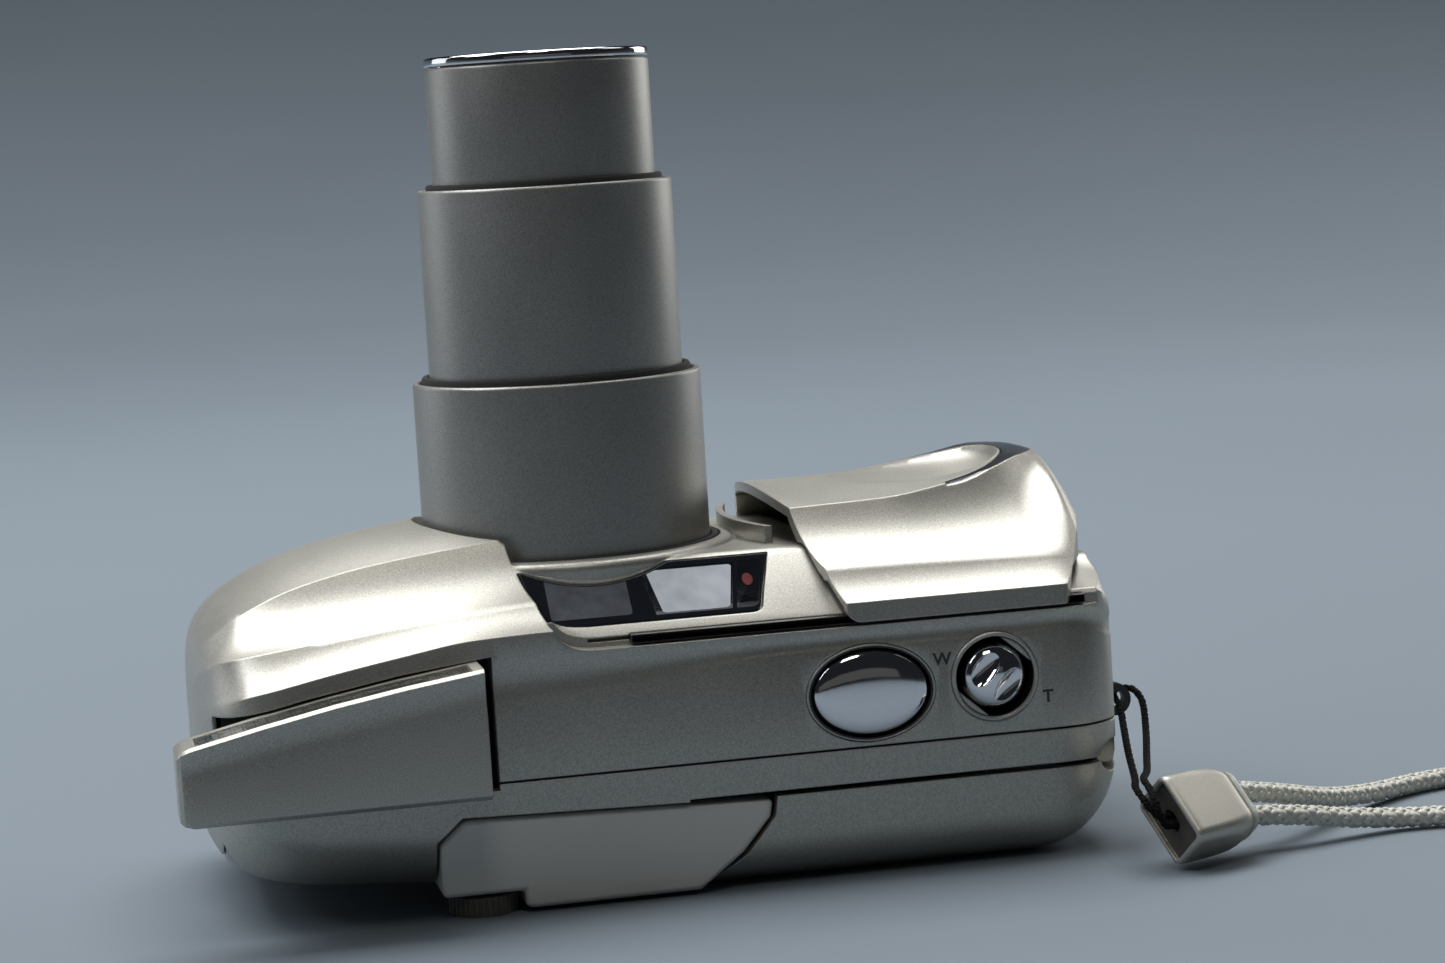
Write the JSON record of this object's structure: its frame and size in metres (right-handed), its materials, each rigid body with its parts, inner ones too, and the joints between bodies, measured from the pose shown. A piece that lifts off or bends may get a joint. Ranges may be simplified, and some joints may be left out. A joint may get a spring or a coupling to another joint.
{
  "type": "compact film zoom camera",
  "caption": "Compact film camera with a sliding lens cover, an extended telescopic zoom lens, a pop-up flash head and a corded wrist strap.",
  "frame": {"origin": "middle of the camera's outline on the surface that its back rests on, without the wrist strap", "axes": "+Z is the way the lens points, +Y is towards the camera's bottom face, and +X is towards the shutter-release side. The camera lies on its back."},
  "size_m": [0.2363, 0.0797, 0.1082],
  "materials": {
    "silver_plastic": "champagne silver satin paint on moulded plastic",
    "barrel_silver": "fine satin grey silver",
    "grey_plastic": "matte grey",
    "dark_grey": "matte dark grey",
    "black_plastic": "fine matte black",
    "black_rubber": "matte black seal",
    "chrome": "polished plating",
    "steel": "satin",
    "dark_window": "clear window over dark optics",
    "clear": "polished clear",
    "circuit_green": "lacquered board",
    "brass": "bare spring contact",
    "battery_sleeve": "shrunk plastic sleeve",
    "black_cord": "thin plaited cord",
    "silver_cord": "braided silver-white cord"
  },
  "bodies": {
    "casing": {"front_shell": "silver_plastic", "rear_shell": "silver_plastic", "front_window": "dark_window", "lens_hole_seal": "black_rubber", "fixed_lens_barrel": "black_plastic", "film_chassis": "black_plastic", "film_gate": "dark_grey", "eyepiece_housing": "grey_plastic", "eyepiece_lens": "clear", "viewfinder_tube": "black_plastic", "autofocus_module": "black_plastic", "tripod_socket": "steel", "strap_lug": "black_plastic", "shutter_button_bezel": "black_plastic", "zoom_lever_bezel": "silver_plastic", "door_hinge_pin": "steel", "battery_holder": "black_plastic", "battery": "battery_sleeve", "battery_contact": "brass", "flash_capacitor": "black_plastic", "main_board": "circuit_green", "zoom_motor": "steel", "strap_clasp": "steel", "strap_clasp_collar": "clear", "strap_loop_cord": "black_cord", "strap_cord": "silver_cord"},
    "outer_stage": {"outer_barrel": "barrel_silver", "outer_barrel_seal": "black_rubber"},
    "middle_stage": {"middle_barrel": "barrel_silver", "middle_barrel_seal": "black_rubber"},
    "inner_stage": {"inner_barrel": "barrel_silver", "front_ring": "chrome", "lens_bezel": "black_plastic", "front_lens": "clear", "lens_cell": "black_plastic", "shutter_unit": "dark_grey", "rear_lens": "clear"},
    "lens_cover": {"sliding_cover": "silver_plastic", "cover_grip_trim": "chrome"},
    "flash_head": {"flash_housing": "silver_plastic", "flash_window": "clear", "flash_reflector": "chrome"},
    "release_button": {"shutter_button": "chrome"},
    "zoom_control": {"zoom_lever": "chrome"},
    "diopter_control": {"diopter_dial": "dark_grey"},
    "film_back": {"film_door": "silver_plastic", "film_window": "clear", "display_window": "dark_window", "pressure_plate": "black_plastic", "pressure_plate_spring": "steel"},
    "back_button_1": {"mode_button_1": "grey_plastic"},
    "back_button_2": {"mode_button_2": "grey_plastic"},
    "back_button_3": {"mode_button_3": "grey_plastic"},
    "back_latch": {"door_latch": "grey_plastic"},
    "battery_cover": {"battery_door": "silver_plastic"},
    "film_take_up": {"take_up_spool": "black_plastic"},
    "film_counter_wheel": {"film_sprocket": "black_plastic"},
    "film_rewind": {"rewind_fork": "black_plastic"}
  },
  "joints": [
    {"name": "zoom_slide", "type": "slide", "parent": "casing", "child": "outer_stage", "axis": [0, 0, 1], "range_m": [-0.0224, 0]},
    {"name": "middle_zoom_slide", "type": "slide", "parent": "outer_stage", "child": "middle_stage", "axis": [0, 0, 1], "range_m": [-0.0252, 0]},
    {"name": "inner_zoom_slide", "type": "slide", "parent": "middle_stage", "child": "inner_stage", "axis": [0, 0, 1], "range_m": [-0.0173, 0]},
    {"name": "cover_slide", "type": "slide", "parent": "casing", "child": "lens_cover", "axis": [1, 0, 0], "range_m": [-0.0053, 0]},
    {"name": "flash_slide", "type": "slide", "parent": "casing", "child": "flash_head", "axis": [0, 1, 0], "range_m": [0, 0.0075], "stiffness_N_per_m": 60},
    {"name": "shutter_button_press", "type": "slide", "parent": "casing", "child": "release_button", "axis": [0, 1, 0], "range_m": [0, 0.0008], "stiffness_N_per_m": 400},
    {"name": "zoom_lever_turn", "type": "hinge", "parent": "casing", "child": "zoom_control", "pos_m": [0.0412, -0.0257, 0.0246], "axis": [0, 1, 0], "range_deg": [-28, 28], "stiffness_Nm_per_rad": 0.02},
    {"name": "diopter_turn", "type": "hinge", "parent": "casing", "child": "diopter_control", "pos_m": [-0.0263, -0.0218, 0], "axis": [0, 0, 1], "range_deg": [-150, 150]},
    {"name": "film_door_hinge", "type": "hinge", "parent": "casing", "child": "film_back", "pos_m": [0.0574, 0.0043, 0.0123], "axis": [0, -1, 0], "range_deg": [0, 83]},
    {"name": "back_button_1_press", "type": "slide", "parent": "film_back", "child": "back_button_1", "axis": [0, 0, 1], "range_m": [0, 0.0005], "stiffness_N_per_m": 200},
    {"name": "back_button_2_press", "type": "slide", "parent": "film_back", "child": "back_button_2", "axis": [0, 0, 1], "range_m": [0, 0.0005], "stiffness_N_per_m": 200},
    {"name": "back_button_3_press", "type": "slide", "parent": "film_back", "child": "back_button_3", "axis": [0, 0, 1], "range_m": [0, 0.0005], "stiffness_N_per_m": 200},
    {"name": "latch_slide", "type": "slide", "parent": "casing", "child": "back_latch", "axis": [0, 1, 0], "range_m": [0, 0.003], "stiffness_N_per_m": 150},
    {"name": "battery_door_hinge", "type": "hinge", "parent": "casing", "child": "battery_cover", "pos_m": [0.038, 0.0343, 0.022], "axis": [0, 0, 1], "range_deg": [0, 100]},
    {"name": "spool_turn", "type": "hinge", "parent": "casing", "child": "film_take_up", "pos_m": [0.0274, 0.0043, 0.015], "axis": [0, 1, 0], "continuous": true},
    {"name": "sprocket_turn", "type": "hinge", "parent": "casing", "child": "film_counter_wheel", "pos_m": [0.0157, -0.0114, 0.0123], "axis": [0, 1, 0], "continuous": true},
    {"name": "rewind_turn", "type": "hinge", "parent": "casing", "child": "film_rewind", "pos_m": [-0.0438, 0.0296, 0.0184], "axis": [0, 1, 0], "continuous": true}
  ],
  "couplings": [
    {"joint": "middle_zoom_slide", "follows": "zoom_slide", "ratio": 1.125},
    {"joint": "inner_zoom_slide", "follows": "zoom_slide", "ratio": 0.77}
  ]
}
